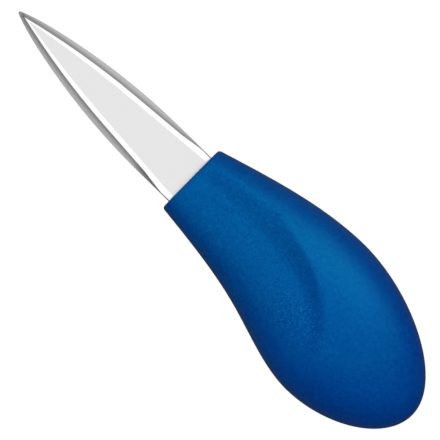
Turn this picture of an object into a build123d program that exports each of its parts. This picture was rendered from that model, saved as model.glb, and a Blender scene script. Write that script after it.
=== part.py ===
from build123d import *
import os
from math import asin, cos, degrees, hypot, pi, radians, sin, sqrt

# Oyster knife: a short lancet blade in a thick palm-filling handle with a thumb scoop on each face.
# Millimetres. It is laid out with the middle of the handle's front face at zero, the blade towards -X,
# the handle towards +X and the blade lying flat, and is moved at the end so that it stands on z = 0.

# Blade, ground from one strip
blade_length = 65.2  # front face of the handle to the tip
blade_width = 16.6
blade_thickness = 2.2
straight_length = 12.0  # parallel edges just ahead of the handle
tip_length = 10.0  # where the curved edges start to close faster towards the point
tip_width_share = 0.41  # of the blade's width, left at that place
tip_angle = 22.0  # degrees between each edge and the blade's middle line, at the point
nose_radius = 0.45
edge_thickness = 0.5  # blunt land left along both edges
bevel_width = 1.95  # edge bevel, square to the edge where the grinding runs straight
bevel_radius_share = 1.3  # of the edge's plan radius, so that the bevel narrows towards the point
shoulder_width = 1.33  # shallow facet between the bevel and the flat
shoulder_drop = 0.13  # fall of that facet over its width
shoulder_radius_share = 1.81
runout_start = 26.9  # where the grinding leaves the curved edge and runs straight
runout_turn = 10.4  # where the bevel turns out
runout_angle = 2.7  # degrees of that turn
runout_end = 3.2  # where only a thin bevel is left, which runs on into the handle

# Tang, the hidden part of the blade
seat_step = 0.25  # the full thickness stops this far ahead of the handle
tang_thickness = 2.0
tang_shoulder = 2.0  # step in from each edge of the blade, where it bears on the core
tang_taper = 1.3  # further narrowing of each edge, down to the round end
tang_reach = 52.0  # front face to the tang's rounded end
tang_corner_radius = 1.0
lock_hole = 5.0
lock_hole_places = (17.0, 39.0)

# Handle, seen on its face: the back is on +Y and the finger side on -Y
handle_length = 88.0
back_front_wall = 2.9  # the front end reaches this far past the blade's edge on the back
back_widest = 20.6  # half width
back_widest_place = 46.5
finger_front_wall = 2.4  # and this far past it on the finger side
finger_waist = 16.3  # half widths
finger_waist_place = 33.0
finger_widest = 22.5
finger_widest_place = 58.7
butt_offset = 3.4  # the rearmost point lies this far to the finger side
back_front_slope = 0.30
finger_front_slope = 0.12
finger_waist_slope = 0.29
back_taper_share = 0.12
finger_taper_share = 0.06
taper_power = 1.5

# Handle, seen from the side: half thicknesses from the blade's middle plane
front_half_thickness = 7.6
half_thickness = 13.5
thickest_place = 48.0
front_thickness_slope = 0.26
thickness_taper_share = 0.12
crest_offset = 0.9  # the crest runs this far to the finger side at the thickest place
section_power_back_front = 2.36
section_power_back_butt = 2.29
section_power_finger_front = 2.5
section_power_finger_butt = 1.95
front_edge_radius = 0.8
front_settle = 0.9  # an extra section this far behind the rounding keeps the surface straight there

# Thumb scoop, alike on both faces
scoop_front_half = 6.5  # half thicknesses on the floor of the scoop
scoop_middle_half = 9.4
scoop_middle_place = 25.0
scoop_end_half = 11.8
scoop_end_place = 55.0
scoop_front_slope = 0.05
scoop_middle_slope = 0.09
scoop_centre_place = 10.0  # the crease turns about this point
scoop_centre_offset = 17.1
scoop_reach = 61.0  # front face to the rear end of the crease
crease_front = 7.2  # the crease's distance to the back
crease_middle = 10.8
crease_front_slope = 0.13
crease_power = 2.15
scoop_wall_front = 5.0  # width of the wall under the crease
scoop_wall_middle = 8.6
scoop_wall_end = 6.0
crease_sharp_share = 0.6
crease_sharp_reach = 41.0  # the crease is crisp up to here
crease_soft_reach = 53.0  # and has softened by here

# Skin and hollow core
skin = 3.0  # the blade's full width ends here, with its shoulders on the core
core_wall = 2.4
rib = 2.0
rib_offset = 3.6  # the two long ribs under the tang
cross_rib_count = 11
first_rib_place = 9.0
last_rib_inset = 9.0  # from the butt
hollow_width_share = 0.82  # of the core's own half width
peg_clearance = 0.1
boss_wall = 2.0
peg_reach = 3.4  # past the middle plane
rear_peg = 4.0
rear_peg_inset = 16.0  # from the butt
tang_clearance = 0.1

section_count = 60
around_count = 80
round_count = 4
core_section_count = 14
core_around_count = 14
overrun = 2.0  # how far a cut runs past what it cuts


def between(place, first, last):
    """Cubic from one (place, value, slope) to the next."""
    x0, v0, s0 = first
    x1, v1, s1 = last
    run = x1 - x0
    t = (place - x0) / run
    start = (2 * t**3 - 3 * t**2 + 1) * v0 + (t**3 - 2 * t**2 + t) * run * s0
    end = (3 * t**2 - 2 * t**3) * v1 + (t**3 - t**2) * run * s1
    return start + end


def along(place, stations):
    """The value at a place, through (place, value, slope) stations, level past the last one."""
    for first, last in zip(stations, stations[1:]):
        if place <= last[0]:
            return between(max(place, stations[0][0]), first, last)
    return stations[-1][1]


def capped(place, stations, pole, taper_share):
    """As along, then a rounded cap from the last station down to zero at the pole."""
    last_place, last_value = stations[-1][:2]
    if place <= last_place:
        return along(place, stations)
    t = min((place - last_place) / (pole - last_place), 1)
    return last_value * sqrt(1 - t * t) * (1 - taper_share * t**taper_power)


def back_side(place, inset):
    rise = butt_offset - inset
    front = blade_width / 2 + back_front_wall
    stations = [(0, front + rise, back_front_slope), (back_widest_place, back_widest + rise, 0)]
    return capped(place, stations, handle_length - inset, back_taper_share) - butt_offset


def finger_side(place, inset):
    rise = -butt_offset - inset
    front = blade_width / 2 + finger_front_wall
    stations = [
        (0, front + rise, finger_front_slope),
        (finger_waist_place, finger_waist + rise, finger_waist_slope),
        (finger_widest_place, finger_widest + rise, 0),
    ]
    return -capped(place, stations, handle_length - inset, finger_taper_share) - butt_offset


def body_half(place, inset):
    stations = [
        (0, front_half_thickness - inset, front_thickness_slope),
        (thickest_place, half_thickness - inset, 0),
    ]
    return capped(place, stations, handle_length - inset, thickness_taper_share)


def scoop_half(place, inset):
    stations = [
        (0, scoop_front_half - inset, scoop_front_slope),
        (scoop_middle_place, scoop_middle_half - inset, scoop_middle_slope),
        (scoop_end_place, scoop_end_half - inset, 0),
    ]
    return min(along(place, stations), body_half(place, inset))


def crest(place):
    """Y of the crest line, the thickest line along the handle."""
    if place <= thickest_place:
        return between(place, (0, 0, 0), (thickest_place, -crest_offset, 0))
    return between(place, (thickest_place, -crest_offset, 0), (handle_length, -butt_offset, 0))


def bulb_share(place, y):
    """1 outside the crease and 0 on the floor of the scoop."""
    crease_stations = [(0, crease_front, crease_front_slope), (scoop_middle_place, crease_middle, 0)]
    wall_stations = [
        (0, scoop_wall_front, 0),
        (scoop_middle_place, scoop_wall_middle, 0),
        (scoop_end_place, scoop_wall_end, 0),
    ]
    ahead = max(place - scoop_centre_place, 0)
    up = max(y + scoop_centre_offset, 0)
    ahead_share = ahead / (scoop_reach - scoop_centre_place)
    up_share = up / (along(place, crease_stations) + scoop_centre_offset)
    ratio = (ahead_share**crease_power + up_share**crease_power) ** (1 / crease_power)
    if ratio == 0:
        return 0
    past_crease = hypot(ahead, up) * (1 - 1 / ratio)
    t = min(max(past_crease / along(place, wall_stations) + 1, 0), 1)
    sharp_share = along(place, [(crease_sharp_reach, crease_sharp_share, 0), (crease_soft_reach, 0, 0)])
    return sharp_share * t * t + (1 - sharp_share) * t * t * (3 - 2 * t)


def section_powers(place):
    """How square the section is on the back and on the finger side; 2 is an ellipse."""
    share = place / handle_length
    back = section_power_back_front + (section_power_back_butt - section_power_back_front) * share
    finger = section_power_finger_front + (section_power_finger_butt - section_power_finger_front) * share
    return back, finger


def height_at(place, y, inset):
    """Height of the upper surface above the middle plane."""
    offset = y - crest(place)
    back_power, finger_power = section_powers(place)
    if offset >= 0:
        share, power = offset / (back_side(place, inset) - crest(place)), back_power
    else:
        share, power = offset / (finger_side(place, inset) - crest(place)), finger_power
    floor = scoop_half(place, inset)
    half = floor + (body_half(place, inset) - floor) * bulb_share(place, y)
    return half * max(1 - share**power, 0) ** (1 / power)


def section_point(place, angle, inset):
    """A point on the upper half of a cross section, from the back side (0) round to the finger side (pi)."""
    back_power, finger_power = section_powers(place)
    if angle <= pi / 2:
        reach, power = back_side(place, inset) - crest(place), back_power
    else:
        reach, power = finger_side(place, inset) - crest(place), finger_power
    y = crest(place) + reach * abs(cos(angle)) ** (2 / power)
    return Vector(place, y, 0 if angle in (0, pi) else height_at(place, y, inset))


def section_arch(place, inset, around_count):
    """The upper half of a cross section, which leaves the middle plane square to it at both ends."""
    steps = [i / around_count for i in range(around_count + 1)]
    points = [section_point(place, pi * step, inset) for step in steps]
    start_rise = (4 * points[1].Z - points[2].Z) * around_count / 2
    end_rise = (4 * points[-2].Z - points[-3].Z) * around_count / 2
    tangents = [Vector(0, 0, start_rise), Vector(0, 0, -end_rise)]
    return Edge.make_spline(points, tangents=tangents, parameters=steps, scale=False)


def butt_point(inset):
    return Vertex(handle_length - inset, -butt_offset, 0)


def stations_from(front, inset, count):
    """Places along the handle, closer together towards the rounded butt."""
    run = handle_length - inset - front
    return [front + run * sin(pi / 2 * i / count) for i in range(count)]


def half_form(front, inset):
    """The upper half of the handle's form, set in by a wall, with a flat front end."""
    wires = []
    for place in stations_from(front, inset, core_section_count):
        arch = section_arch(place, inset, core_around_count)
        wires.append(Wire([arch, Edge.make_line(arch @ 1, arch @ 0)]))
    return Solid.make_loft(wires + [butt_point(inset)])


def handle_form():
    """The outside of the handle, both halves in one, with its front edge rounded."""
    turns = [pi / 2 * i / round_count for i in range(round_count)]
    rounding = [(front_edge_radius * (1 - cos(turn)), front_edge_radius * (1 - sin(turn))) for turn in turns]
    stations = stations_from(front_edge_radius, 0, section_count)
    stations.insert(1, front_edge_radius + front_settle)
    rest = [(place, 0) for place in stations]
    wires = []
    for place, inset in rounding + rest:
        arch = section_arch(place, inset, around_count)
        wires.append(Wire([arch, arch.mirror(Plane.XY)]))
    return Solid.make_loft(wires + [butt_point(0)])


def side_arc():
    """Centre and radius of the blade's curved edge on +Y, tangent to the straight edge."""
    run = blade_length - tip_length - straight_length
    drop = blade_width / 2 * (1 - tip_width_share)
    radius = (run**2 + drop**2) / (2 * drop)
    return Vector(-straight_length, blade_width / 2 - radius), radius


def ground_outline():
    """The blade on its flat, from the nose to the handle's mouth."""
    centre, radius = side_arc()
    half = blade_width / 2
    side_turn = asin((blade_length - tip_length - straight_length) / radius)
    side = CenterArc(centre, radius, 90, degrees(side_turn))
    straight = Line((-straight_length, half), (-seat_step, half))
    out = Vector(-sin(radians(tip_angle)), cos(radians(tip_angle)))
    touch = Vector(nose_radius - blade_length, 0) + out * nose_radius
    tip = Spline(side @ 1, touch, tangents=[side % 1, Vector(-out.Y, out.X)])
    nose_arc = ThreePointArc(touch, (-blade_length, 0), (touch.X, -touch.Y))
    mouth = Line((-seat_step, half), (-seat_step, -half))
    edges = [straight, side, tip]
    return make_face([*edges, nose_arc, mouth, *[edge.mirror(Plane.XZ) for edge in edges]])


def tang_plan(front, clearance):
    """The tang on its flat: full width through the skin, two shoulders, then a taper to a round end."""
    half = blade_width / 2 + clearance
    root = half - tang_shoulder
    end = root - tang_taper
    round_start = tang_reach - (end - clearance)
    side = Polyline((front, half), (skin, half), (skin, root), (round_start, end))
    round_end = ThreePointArc((round_start, end), (round_start + end, 0), (round_start, -end))
    mouth = Line((front, -half), (front, half))
    outline = make_face([*side.edges(), round_end, *side.mirror(Plane.XZ).edges(), mouth])
    shoulders = outline.vertices().group_by(Axis.X)[1]
    inner_corners = shoulders.sort_by(lambda corner: abs(corner.Y))[:2]
    return fillet(inner_corners, tang_corner_radius)


def tip_tools(bevel_fall):
    """A facet on both faces that thins the point."""
    low = edge_thickness / 2 - overrun * bevel_fall
    high = edge_thickness / 2 + tip_length * bevel_fall
    front, rear = -blade_length - overrun, tip_length - blade_length
    profile = Polygon((front, low), (rear, high), (front, high), align=None)
    tool = extrude(Plane.XZ * profile, blade_width / 2, both=True)
    return [tool, tool.mirror(Plane.XY)]


def four_ways(tool):
    """The same cut on both edges and both faces."""
    pair = [tool, tool.mirror(Plane.XZ)]
    return pair + [cut.mirror(Plane.XY) for cut in pair]


def carried(face, centre, radius, legs):
    """A cut carried round a plan radius to the point, and along straight legs towards the handle."""
    turn = degrees((blade_length + overrun - runout_start) / radius)
    tool = revolve(face, Axis(centre, Vector(0, 0, 1)), turn)
    for path, run in legs:
        tool += extrude(face, run, dir=path)
        face = Pos(*(path * run)) * face
    return tool


def grinding_tools():
    centre, radius = side_arc()
    bevel_radius = radius * bevel_radius_share
    shoulder_radius = radius * shoulder_radius_share
    turn = asin((runout_start - straight_length) / radius)
    out = Vector(-sin(turn), cos(turn))
    path = Vector(cos(turn), sin(turn))
    turned_path = path.rotate(Axis.Z, runout_angle)
    top = blade_thickness / 2

    bevel_top = top - shoulder_drop
    bevel_fall = (bevel_top - edge_thickness / 2) / bevel_width
    bevel_line = centre + out * (radius - bevel_width)
    bevel_centre = bevel_line - out * bevel_radius
    bevel = Polygon(
        (bevel_radius - overrun / bevel_fall, bevel_top + overrun),
        (bevel_radius + overrun / bevel_fall, bevel_top - overrun),
        (bevel_radius + overrun / bevel_fall, bevel_top + overrun),
        align=None,
    )
    bevel_legs = [
        (path, (runout_start - runout_turn) / path.X),
        (turned_path, (runout_turn - runout_end) / turned_path.X),
        (Vector(1, 0), runout_end + skin + overrun),
    ]
    bevel_face = Plane(bevel_centre, x_dir=out, z_dir=path) * bevel
    bevel_tool = carried(bevel_face, bevel_centre, bevel_radius, bevel_legs)

    shoulder_fall = shoulder_drop / shoulder_width
    shoulder_centre = bevel_line - out * (shoulder_width + shoulder_radius)
    reach = bevel_width + shoulder_width + overrun
    shoulder = Polygon(
        (shoulder_radius - shoulder_width, top + shoulder_drop),
        (shoulder_radius + reach, top - reach * shoulder_fall),
        (shoulder_radius + reach, top + shoulder_drop),
        align=None,
    )
    shoulder_face = Plane(shoulder_centre, x_dir=out, z_dir=path) * shoulder
    shoulder_legs = [(path, (runout_start + skin + overrun) / path.X)]
    shoulder_tool = carried(shoulder_face, shoulder_centre, shoulder_radius, shoulder_legs)
    return four_ways(bevel_tool) + four_ways(shoulder_tool) + tip_tools(bevel_fall)


def lock_pins(diameter, bottom, top):
    """Upright cylinders at the lock holes."""
    height = top - bottom
    return [Pos(place, 0, bottom + height / 2) * Cylinder(diameter / 2, height) for place in lock_hole_places]


def make_blade():
    ground = extrude(ground_outline(), blade_thickness / 2, both=True)
    tang = extrude(tang_plan(-seat_step, 0), tang_thickness / 2, both=True)
    holes = lock_pins(lock_hole, -blade_thickness, blade_thickness)
    return (ground + tang) - grinding_tools() - holes


def make_core_form():
    """Upper half of the core's outside, which is the inside of the skin."""
    return half_form(skin, skin)


def hollow_depth(ends, sides):
    """Depth of a pocket in the core that leaves the wall over all of it."""
    return min(height_at(place, y, skin + core_wall) for place in ends for y in sides)


def lane_sides(ends):
    """The three rows of pockets: beside the back, between the long ribs, and beside the finger side."""
    inner, outer = rib_offset - rib / 2, rib_offset + rib / 2
    back = min(back_side(place, skin + core_wall) for place in ends) * hollow_width_share
    finger = max(finger_side(place, skin + core_wall) for place in ends) * hollow_width_share
    return [(outer, back), (-inner, inner), (finger, -outer)]


def cross_ribs():
    """Middles of the evenly spaced ribs across the core."""
    pitch = (handle_length - last_rib_inset - first_rib_place) / (cross_rib_count - 1)
    return [first_rib_place + pitch * i for i in range(cross_rib_count)]


def rear_peg_middle():
    place = handle_length - rear_peg_inset
    return Pos(place, crest(place), 0)


def core_pockets():
    """Pockets between the ribs, across both halves, cut as deep as the wall over them allows."""
    pockets = []
    for front, rear in zip(cross_ribs(), cross_ribs()[1:]):
        ends = (front + rib / 2, rear - rib / 2)
        for sides in lane_sides(ends):
            size = (ends[1] - ends[0], sides[1] - sides[0], 2 * hollow_depth(ends, sides))
            if min(size) > rib:
                pockets.append(Pos(sum(ends) / 2, sum(sides) / 2, 0) * Box(*size))
    rear_boss = Cylinder(rear_peg / 2 + peg_clearance + boss_wall, 2 * half_thickness)
    bosses = lock_pins(lock_hole + 2 * boss_wall, -half_thickness, half_thickness)
    return Part() + pockets - bosses - rear_peg_middle() * rear_boss


def make_core_shell(core_form):
    """Upper half of the core without its pegs or sockets."""
    tang_pocket = extrude(tang_plan(skin - overrun, tang_clearance), tang_thickness / 2, both=True)
    return core_form - tang_pocket - core_pockets()


def peg_set(clearance):
    """The three pegs, from the face they stand on, or the sockets that take them."""
    reach = peg_reach + clearance
    pegs = lock_pins(lock_hole - 2 * peg_clearance + 2 * clearance, -tang_thickness / 2, reach)
    rear = rear_peg_middle() * Pos(0, 0, reach / 2) * Cylinder(rear_peg / 2 + clearance, reach)
    return pegs + [rear]


def make_grip(core_form, blade):
    core = core_form + core_form.mirror(Plane.XY)
    return handle_form() - core - blade


os.makedirs("parts", exist_ok=True)
blade = make_blade()
core_form = make_core_form()
core_shell = make_core_shell(core_form)
core_upper = core_shell - peg_set(peg_clearance)
core_lower = core_shell.mirror(Plane.XY) + peg_set(0)
grip = make_grip(core_form, blade)

box = Compound([grip, blade]).bounding_box()
stand = Pos(-box.center().X, -box.center().Y, -box.min.Z)
pieces = {"blade": blade, "core_upper": core_upper, "core_lower": core_lower, "grip": grip}
for name, piece in pieces.items():
    export_step(stand * piece, f"parts/{name}.step")
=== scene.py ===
from math import cos, radians, sin

import bpy
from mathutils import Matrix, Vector


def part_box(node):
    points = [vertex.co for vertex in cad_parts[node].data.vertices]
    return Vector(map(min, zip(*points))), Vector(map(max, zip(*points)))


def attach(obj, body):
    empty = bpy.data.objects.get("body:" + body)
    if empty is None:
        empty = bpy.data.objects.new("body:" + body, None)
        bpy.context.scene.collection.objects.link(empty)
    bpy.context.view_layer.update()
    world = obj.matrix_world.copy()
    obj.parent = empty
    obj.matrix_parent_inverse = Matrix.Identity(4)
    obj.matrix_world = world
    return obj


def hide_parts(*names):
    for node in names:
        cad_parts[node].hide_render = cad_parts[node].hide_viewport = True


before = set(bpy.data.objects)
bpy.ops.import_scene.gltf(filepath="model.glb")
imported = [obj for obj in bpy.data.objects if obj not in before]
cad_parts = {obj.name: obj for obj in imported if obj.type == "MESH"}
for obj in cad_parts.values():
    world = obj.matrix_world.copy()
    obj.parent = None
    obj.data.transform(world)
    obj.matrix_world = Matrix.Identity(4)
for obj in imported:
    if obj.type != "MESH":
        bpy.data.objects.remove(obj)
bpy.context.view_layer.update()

print("knife loaded, pieces:", ", ".join(sorted(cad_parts)))

mm = 0.001


# shader helpers: an expression on wires adds its Math nodes
class Wire:
    def __init__(self, finish, socket):
        self.finish, self.socket = finish, socket

    def __add__(self, other): return self.finish.maths("ADD", self, other)
    def __radd__(self, other): return self.finish.maths("ADD", other, self)
    def __sub__(self, other): return self.finish.maths("SUBTRACT", self, other)
    def __rsub__(self, other): return self.finish.maths("SUBTRACT", other, self)
    def __mul__(self, other): return self.finish.maths("MULTIPLY", self, other)
    def __rmul__(self, other): return self.finish.maths("MULTIPLY", other, self)
    def __abs__(self): return self.finish.maths("ABSOLUTE", self)


class Finish:
    def __init__(self, name):
        self.material = bpy.data.materials.new(name)
        self.material.use_nodes = True
        self.tree = self.material.node_tree
        self.tree.nodes.clear()

    # any node: its settings first, then its input sockets by name or number
    def node(self, kind, settings=None, inputs=None, output=0):
        made = self.tree.nodes.new(kind)
        for key, value in (settings or {}).items():
            setattr(made, key, value)
        for key, value in (inputs or {}).items():
            if isinstance(value, Wire):
                self.tree.links.new(value.socket, made.inputs[key])
            else:
                made.inputs[key].default_value = value
        return Wire(self, made.outputs[output])

    def maths(self, operation, *values):
        return self.node("ShaderNodeMath", {"operation": operation}, dict(enumerate(values)))

    def vector(self, operation, *values):
        return self.node("ShaderNodeVectorMath", {"operation": operation}, dict(enumerate(values)))

    def smooth(self, value, low, high):  # 0 below low, 1 above high
        return self.node("ShaderNodeMapRange", {"interpolation_type": "SMOOTHSTEP"},
                         {0: value, 1: low, 2: high, 3: 0.0, 4: 1.0})

    def place(self):  # object coordinates, in metres
        return self.node("ShaderNodeTexCoord", output="Object")

    def split(self, vector):
        parts = self.node("ShaderNodeSeparateXYZ", inputs={0: vector}).socket.node
        return [Wire(self, part) for part in parts.outputs]

    def noise(self, vector, size, detail, rough, squash=(1, 1, 1)):  # size of a blotch in metres
        where = self.node("ShaderNodeMapping", inputs={"Vector": vector, "Scale": squash})
        return self.node("ShaderNodeTexNoise", {"noise_dimensions": "3D"},
                         {"Vector": where, "Scale": 1 / size, "Detail": detail, "Roughness": rough})

    def mixColour(self, share, first, second):
        return self.node("ShaderNodeMix", {"data_type": "RGBA"}, {0: share, 6: first, 7: second}, 2)

    def bump(self, height, depth, before=None):  # depth in metres for a height of 1
        inputs = {"Height": height, "Distance": depth, "Strength": 1.0}
        if before:
            inputs["Normal"] = before
        return self.node("ShaderNodeBump", inputs=inputs)

    def surface(self, **sockets):
        shader = self.node("ShaderNodeBsdfPrincipled",
                           inputs={key.replace("_", " "): value for key, value in sockets.items()})
        return self.output(shader)

    def output(self, shader):
        out = self.tree.nodes.new("ShaderNodeOutputMaterial")
        self.tree.links.new(shader.socket, out.inputs["Surface"])
        return self.material


def grey(value):
    return (value, value, value, 1)


# the grip: matt moulded plastic with a spark-eroded grain
gripLook = {
    "crispAbove": 40,                      # degrees; a sharper edge than this stays crisp
    "blue": (0.0, 0.070, 0.333, 1),
    "shadedButtBlue": (0.0, 0.057, 0.360, 1),    # painted shade: a blue with less green towards the butt, which turns away from the light
    "buttShadeSpan": (10 * mm, 65 * mm),         # the painted shade grows from here to here along the handle
    "grainAndGlintColour": (0.006, 0.075, 0.135),  # added at a full crest of the grain: grain tone, with painted glints on its bright crests
    "coarse": (0.50 * mm, 2.0, 0.6),       # each noise has its size, detail and roughness
    "fine": (0.24 * mm, 1.0, 0.6),
    "wave": (1.1 * mm, 2.0, 0.55),
    "mottle": (2.6 * mm, 3.0, 0.55),
    "glintPeaks": (0.60, 0.74),                 # the part of the coarse noise that makes bright specks, painted glints on the grain
    "plainGrain": 0.45,                    # strength of the grain away from the scoop
    "scoopGrain": 0.65,                    # added in the scoop
    "endGrain": 1.45,                      # and at its rear end, where it is coarsest
    "fineTone": 0.6,
    "glintPeakTone": 0.25,
    "waveTone": 0.75,
    "mottleTone": 0.2,
    "grainDepth": 0.045 * mm,
    "fineBump": 0.4,
    "scoop": (12 * mm, -1 * mm),
    "scoopReach": 34 * mm,
    "scoopEnd": (36 * mm, -6 * mm),
    "scoopEndReach": 14 * mm,
    "evenShare": 0.4,                      # of each reach, before the grain starts to weaken
    "acrossSquash": 1.8,                   # both places are this much longer than wide
    "rough": 0.42,
    "mottleRough": 0.14,
    "fineRough": 0.10,
    "peakRough": 0.06,
    "gloss": 0.5,
    "glossTint": (0.02, 1.0, 0.95, 1),
    "partingHeight": 13.48 * mm,
    "partingHalf": (0.02 * mm, 0.09 * mm),
    "partingDepth": 0.03 * mm,
}


def mouldedBlue():
    look = gripLook
    f = Finish("mouldedBlue")
    place = f.place()
    x, y, z = f.split(place)
    coarse = f.noise(place, *look["coarse"])
    fine = f.noise(place, *look["fine"])
    wave = f.noise(place, *look["wave"])
    mottle = f.noise(place, *look["mottle"])

    def near(centre, reach):  # 1 around a place, 0 past its reach
        dx, dy = x - centre[0], (y - centre[1]) * look["acrossSquash"]
        return 1 - f.smooth(f.maths("SQRT", dx * dx + dy * dy), reach * look["evenShare"], reach)

    inScoop = near(look["scoop"], look["scoopReach"])
    atEnd = near(look["scoopEnd"], look["scoopEndReach"])
    strength = look["plainGrain"] + look["scoopGrain"] * inScoop + look["endGrain"] * atEnd
    glintPeaks = f.smooth(coarse, *look["glintPeaks"])
    # painted shade: the blue turns to the shaded butt's blue along the handle
    tone = f.mixColour(f.smooth(x, *look["buttShadeSpan"]), look["blue"], look["shadedButtBlue"])
    # grain tone, and painted glints on the grain's bright crests
    crest = (coarse - 0.5 + (fine - 0.5) * look["fineTone"] + glintPeaks * look["glintPeakTone"]) * strength
    crest = crest + (wave - 0.5) * look["waveTone"] + (mottle - 0.5) * look["mottleTone"]
    colour = f.vector("MULTIPLY_ADD", crest, look["grainAndGlintColour"], tone)
    colour = f.vector("MAXIMUM", colour, (0, 0, 0))
    rough = look["rough"] + look["mottleRough"] * (mottle - 0.5)
    rough = rough + look["fineRough"] * (fine - 0.5) - look["peakRough"] * glintPeaks
    grain = (coarse + fine * look["fineBump"]) * strength
    seam = 1 - f.smooth(abs(z - look["partingHeight"]), *look["partingHalf"])  # parting line of the mould
    normal = f.bump(grain, look["grainDepth"])
    normal = f.bump(seam, look["partingDepth"], normal)
    return f.surface(Base_Color=colour, Roughness=rough, Normal=normal,
                     Specular_IOR_Level=look["gloss"], Specular_Tint=look["glossTint"])


# the blade: steel with ground flats, and painted reflections: bright shoulders and grey bevels
bladeLook = {
    "crispAbove": 4,
    "flat": 0.76,                          # painted reflection: the brightness each kind of face shows under the lamps
    "shoulder": 0.95,
    "bevelInnerReflection": 0.32,
    "bevelOuterReflection": 0.62,
    "land": 0.5,
    "bevelUp": (0.960, 0.985),             # a face is told by how much its normal points up
    "shoulderUp": (0.9965, 0.9990),
    "landUp": (0.4, 0.6),
    "bevelFall": (0.45 * mm, 0.97 * mm),   # off the blade's middle plane: the painted reflection runs from edge tone to inner tone
    "rimWidth": 0.42 * mm,                 # painted shade along the unground edges by the handle, where the real corner is rounded
    "rimFullShare": 0.3,                   # of that width, on the outside, is dulled in full
    "rimShade": 0.65,
    "rootShade": 0.42,                     # painted shade: the finger side's bevel darkens where it runs out
    "root": (-27 * mm, -21 * mm),
    "lines": (0.05 * mm, 3.0, 0.65),       # grinding lines: size, detail and roughness
    "lineStretch": 60,
    "lineTone": 0.06,
    "broad": (9 * mm, 3.0, 0.5),
    "broadSquash": (0.35, 1, 1),
    "broadTone": 0.03,
    "scratch": (0.12 * mm, 1.0, 0.5),
    "scratchStretch": 90,
    "scratches": (0.70, 0.74),
    "scratchTone": 0.05,
    "blueShare": 1.005,
    "rough": 0.24,
    "broadRough": 0.05,
    "lineRough": 0.10,
    "bevelRough": 0.10,
    "lineDepth": 0.0015 * mm,
}

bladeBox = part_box("blade")
bladeMiddle = (bladeBox[0] + bladeBox[1]) / 2
bladeHalf = (bladeBox[1].y - bladeBox[0].y) / 2


def groundSteelPaintedReflections():
    look = bladeLook
    f = Finish("groundSteelPaintedReflections")
    place = f.place()
    x, y, z = f.split(place)
    facing = f.node("ShaderNodeNewGeometry", output="True Normal")
    up = abs(f.split(facing)[2])
    onBevel = 1 - f.smooth(up, *look["bevelUp"])
    onShoulder = (1 - onBevel) * (1 - f.smooth(up, *look["shoulderUp"]))
    onLand = 1 - f.smooth(up, *look["landUp"])
    # grinding lines: along the flats, across the bevels
    along = f.noise(place, *look["lines"], (1 / look["lineStretch"], 1, 1))
    across = f.noise(place, *look["lines"], (1, 1 / look["lineStretch"], 1))
    broad = f.noise(place, *look["broad"], look["broadSquash"])
    scratch = f.noise(place, *look["scratch"], (1 / look["scratchStretch"], 1, 1))
    scratches = f.smooth(scratch, *look["scratches"])
    # 1 at the bevel's inner line, 0 at the edge: the painted reflection darkens inwards across the bevel
    inner = f.smooth(abs(z - bladeMiddle.z), *look["bevelFall"])
    bevelReflection = look["bevelOuterReflection"] + (look["bevelInnerReflection"] - look["bevelOuterReflection"]) * inner
    # painted reflection: each face gets the tone that the lamps' reflection gives it
    tone = look["flat"] * (1 - onShoulder - onBevel) + look["shoulder"] * onShoulder + bevelReflection * onBevel
    # painted shade on the finger side's bevel where it runs out
    atRoot = f.smooth(x, *look["root"]) * f.maths("LESS_THAN", y, bladeMiddle.y)
    tone = tone * (1 - atRoot * onBevel * look["rootShade"])
    # painted shade along the rounded corner of the unground edges
    rim = bladeHalf - look["rimWidth"]
    rimFull = bladeHalf - look["rimWidth"] * look["rimFullShare"]
    onRim = f.smooth(abs(y - bladeMiddle.y), rim, rimFull)
    tone = tone * (1 - onRim * (1 - onBevel) * look["rimShade"])
    tone = tone * (1 - onLand) + look["land"] * onLand
    tone = tone * (1 + (broad - 0.5) * look["broadTone"]) * (1 - look["scratchTone"] * scratches)
    lines = along * (1 - onBevel) + across * onBevel
    tone = tone * (1 + (lines - 0.5) * look["lineTone"])
    colour = f.node("ShaderNodeCombineColor", inputs={0: tone, 1: tone, 2: tone * look["blueShare"]})
    rough = look["rough"] + look["broadRough"] * (broad - 0.5)
    rough = rough + look["lineRough"] * (lines - 0.5) + look["bevelRough"] * onBevel
    normal = f.bump(lines, look["lineDepth"])
    return f.surface(Base_Color=colour, Metallic=1.0, Roughness=rough, Normal=normal)


# the core: pale plastic, hidden by the grip
coreLook = {
    "dark": (0.50, 0.50, 0.47, 1),
    "pale": (0.60, 0.60, 0.57, 1),
    "mottle": (3 * mm, 3.0, 0.5),
    "fine": (0.3 * mm, 2.0, 0.5),
    "rough": 0.5,
    "mottleRough": 0.1,
    "depth": 0.004 * mm,
}


def corePlastic():
    look = coreLook
    f = Finish("corePlastic")
    place = f.place()
    mottle = f.noise(place, *look["mottle"])
    fine = f.noise(place, *look["fine"])
    return f.surface(Base_Color=f.mixColour(mottle, look["dark"], look["pale"]),
                     Roughness=look["rough"] + look["mottleRough"] * (mottle - 0.5),
                     Normal=f.bump(fine, look["depth"]))


weld = 0.001 * mm


def smoothCopy(node, name, crispAbove):  # the node's own shape, welded and smooth-shaded
    piece = bpy.data.objects.new(name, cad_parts[node].data.copy())
    bpy.context.scene.collection.objects.link(piece)
    bpy.ops.object.select_all(action="DESELECT")
    piece.select_set(True)
    bpy.context.view_layer.objects.active = piece
    bpy.ops.object.mode_set(mode="EDIT")
    bpy.ops.mesh.select_all(action="SELECT")
    bpy.ops.mesh.remove_doubles(threshold=weld)
    bpy.ops.object.mode_set(mode="OBJECT")
    bpy.ops.mesh.customdata_custom_splitnormals_clear()
    bpy.ops.object.shade_smooth_by_angle(angle=radians(crispAbove))
    piece.data.materials.clear()
    return piece


grip = smoothCopy("grip", "gripSkin", gripLook["crispAbove"])
grip.data.materials.append(mouldedBlue())
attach(grip, "root")
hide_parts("grip")
print("grip skin:", len(grip.data.polygons), "faces")

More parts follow.
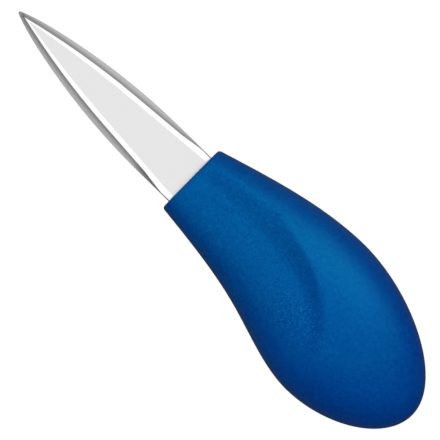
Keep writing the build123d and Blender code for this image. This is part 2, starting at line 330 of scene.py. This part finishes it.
blade = smoothCopy("blade", "groundBlade", bladeLook["crispAbove"])
blade.data.materials.append(groundSteelPaintedReflections())
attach(blade, "root")
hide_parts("blade")
print("blade:", len(blade.data.polygons), "faces")

hidden = corePlastic()
for node in ("core_upper", "core_lower"):
    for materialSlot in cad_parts[node].material_slots:
        materialSlot.material = hidden
print("core halves finished")

studio = {
    "floorSize": 6,
    "floorTone": 0.12,
    "paper": (4 * mm, 3.0, 0.5),
    "paperTone": 0.02,
    "floorWhite": 0.96,                    # added only in what the camera and glass see
    "floorInGloss": 0.12,                  # what gloss reflects of it
    "worldTone": 0.04,
    "aim": (0.012, 0, 0.013),              # the lamps point here
    "lampDistance": 1.1,
}


def whiteFloor():
    f = Finish("whiteFloor")
    ray = f.node("ShaderNodeLightPath").socket.node
    camera, glass, gloss = (Wire(f, ray.outputs[f"Is {kind} Ray"])
                            for kind in ("Camera", "Transmission", "Glossy"))
    paper = f.mixColour(f.noise(f.place(), *studio["paper"]),
                        grey(studio["floorTone"] * (1 - studio["paperTone"])),
                        grey(studio["floorTone"] * (1 + studio["paperTone"])))
    plain = f.node("ShaderNodeBsdfDiffuse", inputs={"Color": paper})
    glow = f.node("ShaderNodeEmission", inputs={"Color": grey(1), "Strength": studio["floorWhite"]})
    both = f.node("ShaderNodeAddShader", inputs={0: plain, 1: glow})
    sheet = f.node("ShaderNodeMixShader", inputs={0: f.maths("MAXIMUM", camera, glass), 1: plain, 2: both})
    mirrored = f.node("ShaderNodeEmission", inputs={"Color": grey(1), "Strength": studio["floorInGloss"]})
    return f.output(f.node("ShaderNodeMixShader", inputs={0: gloss, 1: sheet, 2: mirrored}))


bpy.ops.object.select_all(action="DESELECT")
bpy.ops.mesh.primitive_plane_add(size=studio["floorSize"], location=(0, 0, 0))
floor = bpy.context.object
floor.name = "floor"
floor.data.materials.append(whiteFloor())

world = bpy.data.worlds.new("studio")
world.use_nodes = True
background = world.node_tree.nodes["Background"]
background.inputs["Color"].default_value = grey(1)
background.inputs["Strength"].default_value = studio["worldTone"]
bpy.context.scene.world = world


def only(name, thing):  # a lamp's own list of what it lights
    group = bpy.data.collections.new(name)
    group.objects.link(thing)
    return group


# width and depth in metres, power in watts, tilt in degrees off straight up and turn from +X
def softbox(name, width, depth, power, tilt, turn, lights=None, diffuse=True, gloss=True):
    data = bpy.data.lights.new(name, "AREA")
    data.shape, data.size, data.size_y, data.energy = "RECTANGLE", width, depth, power
    lamp = bpy.data.objects.new(name, data)
    bpy.context.scene.collection.objects.link(lamp)
    lean = sin(radians(tilt))
    away = Vector((lean * cos(radians(turn)), lean * sin(radians(turn)), cos(radians(tilt))))
    lamp.location = Vector(studio["aim"]) + away * studio["lampDistance"]
    lamp.rotation_euler = away.to_track_quat("Z", "Y").to_euler()
    lamp.visible_camera, lamp.visible_diffuse, lamp.visible_glossy = False, diffuse, gloss
    if lights:
        lamp.light_linking.receiver_collection = lights


steelGloss = {"lights": only("litSteel", blade), "diffuse": False}
gripGloss = {"lights": only("litGrip", grip), "diffuse": False}
softbox("keyLight", width=2.6, depth=2.6, power=27.0, tilt=18, turn=133, gloss=False)
softbox("sheenLight", width=0.87, depth=0.87, power=5.1, tilt=42.4, turn=82, **gripGloss)
softbox("overheadLight", width=1.3, depth=1.3, power=3.9, tilt=0, turn=0, **gripGloss)
softbox("topPanel", width=1.0, depth=1.0, power=3.27, tilt=0, turn=0, **steelGloss)
softbox("backPanel", width=0.6, depth=0.9, power=1.36, tilt=45, turn=103, **steelGloss)
softbox("fingerPanel", width=0.6, depth=0.9, power=1.05, tilt=45, turn=255, **steelGloss)
softbox("tipPanel", width=0.6, depth=0.6, power=0.38, tilt=45, turn=180, **steelGloss)
for turn in range(0, 360, 60):  # a low ring, which the steel mirrors when seen from the side
    softbox(f"ringPanel{turn}", width=1.2, depth=0.9, power=1.7, tilt=74, turn=turn, **steelGloss)

shot = {
    "across": 0.11967,                     # metres that the picture spans at the blade's height
    "centre": (0.0021, -0.0012),
    "turn": 44.43,                         # degrees between the knife's length and the picture's side
    "distance": 1.6,
    "sensor": 36,
    "clipping": (0.05, 50),
}
cameraData = bpy.data.cameras.new("camera")
cameraData.sensor_width = shot["sensor"]
cameraData.lens = shot["sensor"] * shot["distance"] / shot["across"]
cameraData.clip_start, cameraData.clip_end = shot["clipping"]
camera = bpy.data.objects.new("camera", cameraData)
bpy.context.scene.collection.objects.link(camera)
camera.location = (*shot["centre"], bladeMiddle.z + shot["distance"])
camera.rotation_euler = (0, 0, radians(shot["turn"]))
bpy.context.scene.camera = camera
bpy.context.scene.view_settings.view_transform = "Standard"
print("studio set")
